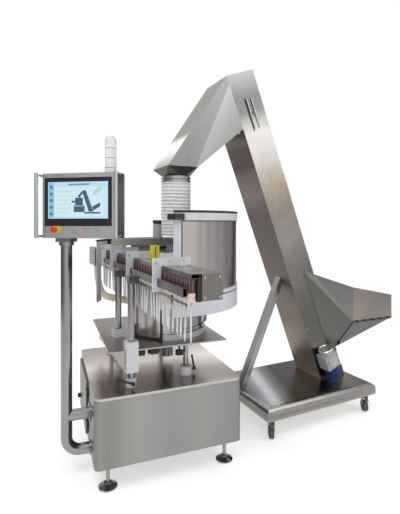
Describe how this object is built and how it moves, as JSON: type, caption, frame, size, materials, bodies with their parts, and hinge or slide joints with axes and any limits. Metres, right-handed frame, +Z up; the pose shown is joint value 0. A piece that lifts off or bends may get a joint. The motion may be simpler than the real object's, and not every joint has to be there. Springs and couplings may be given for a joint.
{
  "type": "parts feeder",
  "caption": "Rotary drum parts feeder on a steel cabinet with an outfeed track of capped droppers, an operator panel on a pole and a wheeled hopper elevator.",
  "frame": {"origin": "floor under the front left levelling foot of the cabinet", "axes": "+X to the right along the cabinet's front, +Y to the back, +Z up"},
  "size_m": [2.6284, 1.8038, 2.4557],
  "materials": {
    "stainless": "brushed",
    "white_coat": "satin",
    "foot": "satin",
    "black_plastic": "matte",
    "control": "matte",
    "screen": "gloss",
    "tower": "gloss",
    "yellow": "satin",
    "red": "gloss",
    "white_button": "gloss",
    "wheel_plastic": "satin",
    "shaft_steel": "turned",
    "motor_paint": "satin",
    "brush": "bristle",
    "belt": "matte",
    "dropper": "gloss",
    "duct": "satin",
    "hose": "satin",
    "lift_belt": "matte",
    "caster_metal": "satin",
    "caster_tyre": "matte"
  },
  "bodies": {
    "frame": {"cabinet_shell": "stainless", "cabinet_top": "stainless", "levelling_feet": "foot", "control_gear": "control", "support_pole": "stainless", "platform_plate": "stainless", "guide_posts": "stainless", "post_clamps": "white_coat", "drum_casing": "stainless", "base_ring": "white_coat", "guard_rear": "stainless", "drum_gearmotor": "motor_paint", "bridge_beam": "stainless", "sorter_motor": "motor_paint", "conveyor_box": "stainless", "track_belt": "belt", "track_rails": "stainless", "track_brackets": "white_coat", "dropper_caps": "dropper", "sensor_block": "yellow", "return_hose": "duct", "cart_tray": "stainless", "elevator_casing": "stainless", "head_chute": "stainless", "feed_hose": "hose", "hopper": "stainless", "elevator_gearmotor": "motor_paint", "lift_belt": "lift_belt"},
    "panel": {"panel_box": "stainless", "panel_glass": "screen", "signal_tower": "tower", "estop_ring": "yellow"},
    "guard_door": {"guard_door_frame": "white_coat", "guard_door_panel": "stainless", "guard_latch": "black_plastic"},
    "rotor": {"rotor_wheel": "wheel_plastic", "rotor_shaft": "shaft_steel"},
    "access_door": {"access_door": "stainless"},
    "door_latch": {"door_latch": "black_plastic"},
    "estop_button": {"estop_button": "red"},
    "button_white": {"button_white": "white_button"},
    "button_red": {"button_red": "red"},
    "button_clear": {"button_clear": "white_button"},
    "lever_left": {"lever_left": "black_plastic"},
    "lever_right": {"lever_right": "black_plastic"},
    "knob_large": {"knob_large": "black_plastic"},
    "knob_left": {"knob_left": "black_plastic"},
    "knob_right": {"knob_right": "black_plastic"},
    "drum_door_body": {"drum_door": "white_coat"},
    "sorter_brush": {"sorter_brush": "brush"},
    "head_drum": {"head_drum": "shaft_steel"},
    "tail_drum": {"tail_drum": "shaft_steel"},
    "caster_1": {"caster_fork_1": "caster_metal"},
    "wheel_1": {"caster_wheel_1": "caster_tyre"},
    "caster_2": {"caster_fork_2": "caster_metal"},
    "wheel_2": {"caster_wheel_2": "caster_tyre"},
    "caster_3": {"caster_fork_3": "caster_metal"},
    "wheel_3": {"caster_wheel_3": "caster_tyre"},
    "caster_4": {"caster_fork_4": "caster_metal"},
    "wheel_4": {"caster_wheel_4": "caster_tyre"}
  },
  "joints": [
    {"name": "access_door_hinge", "type": "hinge", "parent": "frame", "child": "access_door", "pos_m": [-0.0855, 0.244, 0.32], "axis": [0, 0, 1], "range_deg": [0, 100]},
    {"name": "door_latch_turn", "type": "hinge", "parent": "access_door", "child": "door_latch", "pos_m": [-0.0905, 0.613, 0.25], "axis": [-1, 0, 0], "range_deg": [0, 90]},
    {"name": "panel_swivel", "type": "hinge", "parent": "frame", "child": "panel", "pos_m": [-0.202, 0.1405, 1.28], "axis": [0, 0, 1], "range_deg": [-60, 60]},
    {"name": "estop_push", "type": "slide", "parent": "panel", "child": "estop_button", "axis": [0.5417, 0.8406, 0], "range_m": [0, 0.004], "stiffness_N_per_m": 1500},
    {"name": "button_white_push", "type": "slide", "parent": "panel", "child": "button_white", "axis": [0.5417, 0.8406, 0], "range_m": [0, 0.003], "stiffness_N_per_m": 600},
    {"name": "button_red_push", "type": "slide", "parent": "panel", "child": "button_red", "axis": [0.5417, 0.8406, 0], "range_m": [0, 0.003], "stiffness_N_per_m": 600},
    {"name": "button_clear_push", "type": "slide", "parent": "panel", "child": "button_clear", "axis": [0.5417, 0.8406, 0], "range_m": [0, 0.003], "stiffness_N_per_m": 600},
    {"name": "lever_left_turn", "type": "hinge", "parent": "frame", "child": "lever_left", "pos_m": [0.13243, 0.00546, 0.526], "axis": [0.075, -0.9972, 0], "range_deg": [-100, 8]},
    {"name": "lever_right_turn", "type": "hinge", "parent": "frame", "child": "lever_right", "pos_m": [0.5044, 0.095, 0.526], "axis": [1, 0, 0], "range_deg": [-5, 105]},
    {"name": "knob_large_turn", "type": "hinge", "parent": "frame", "child": "knob_large", "pos_m": [0.267, 0.073, 0.68], "axis": [0, 0, 1], "continuous": true},
    {"name": "knob_left_turn", "type": "hinge", "parent": "frame", "child": "knob_left", "pos_m": [0.195, 0.063, 0.68], "axis": [0, 0, 1], "continuous": true},
    {"name": "knob_right_turn", "type": "hinge", "parent": "frame", "child": "knob_right", "pos_m": [0.421, 0.073, 0.68], "axis": [0, 0, 1], "continuous": true},
    {"name": "drum_door_hinge", "type": "hinge", "parent": "frame", "child": "drum_door_body", "pos_m": [0.68705, 0.32119, 0.81], "axis": [0, 0, 1], "range_deg": [0, 100]},
    {"name": "guard_door_hinge", "type": "hinge", "parent": "frame", "child": "guard_door", "pos_m": [0.87153, 0.51443, 1.17], "axis": [0, 0, 1], "range_deg": [0, 55]},
    {"name": "rotor_spin", "type": "hinge", "parent": "frame", "child": "rotor", "pos_m": [0.428, 0.353, 1.15], "axis": [0, 0, 1], "continuous": true},
    {"name": "brush_spin", "type": "hinge", "parent": "frame", "child": "sorter_brush", "pos_m": [0.411, 0.523, 1.22], "axis": [0, 0, 1], "continuous": true},
    {"name": "caster_1_swivel", "type": "hinge", "parent": "frame", "child": "caster_1", "pos_m": [1.06436, 0.12017, 0.118], "axis": [0, 0, 1], "continuous": true},
    {"name": "wheel_1_spin", "type": "hinge", "parent": "caster_1", "child": "wheel_1", "pos_m": [1.05504, 0.09589, 0.04], "axis": [0.9336, -0.3584, 0], "continuous": true},
    {"name": "caster_2_swivel", "type": "hinge", "parent": "frame", "child": "caster_2", "pos_m": [1.90714, 0.1939, 0.118], "axis": [0, 0, 1], "continuous": true},
    {"name": "wheel_2_spin", "type": "hinge", "parent": "caster_2", "child": "wheel_2", "pos_m": [1.89782, 0.16963, 0.04], "axis": [0.9336, -0.3584, 0], "continuous": true},
    {"name": "caster_3_swivel", "type": "hinge", "parent": "frame", "child": "caster_3", "pos_m": [1.01503, 0.68401, 0.118], "axis": [0, 0, 1], "continuous": true},
    {"name": "wheel_3_spin", "type": "hinge", "parent": "caster_3", "child": "wheel_3", "pos_m": [0.99511, 0.6673, 0.04], "axis": [0.6428, -0.766, 0], "continuous": true},
    {"name": "caster_4_swivel", "type": "hinge", "parent": "frame", "child": "caster_4", "pos_m": [1.85781, 0.75775, 0.118], "axis": [0, 0, 1], "continuous": true},
    {"name": "wheel_4_spin", "type": "hinge", "parent": "caster_4", "child": "wheel_4", "pos_m": [1.83221, 0.76226, 0.04], "axis": [-0.1736, -0.9848, 0], "continuous": true},
    {"name": "tail_drum_spin", "type": "hinge", "parent": "frame", "child": "tail_drum", "pos_m": [1.6756, 0.48332, 0.38429], "axis": [-0.0872, 0.9962, 0], "continuous": true},
    {"name": "head_drum_spin", "type": "hinge", "parent": "frame", "child": "head_drum", "pos_m": [1.007, 0.42483, 2.15111], "axis": [-0.0872, 0.9962, 0], "continuous": true}
  ],
  "couplings": [
    {"joint": "head_drum_spin", "follows": "tail_drum_spin", "ratio": 1}
  ]
}
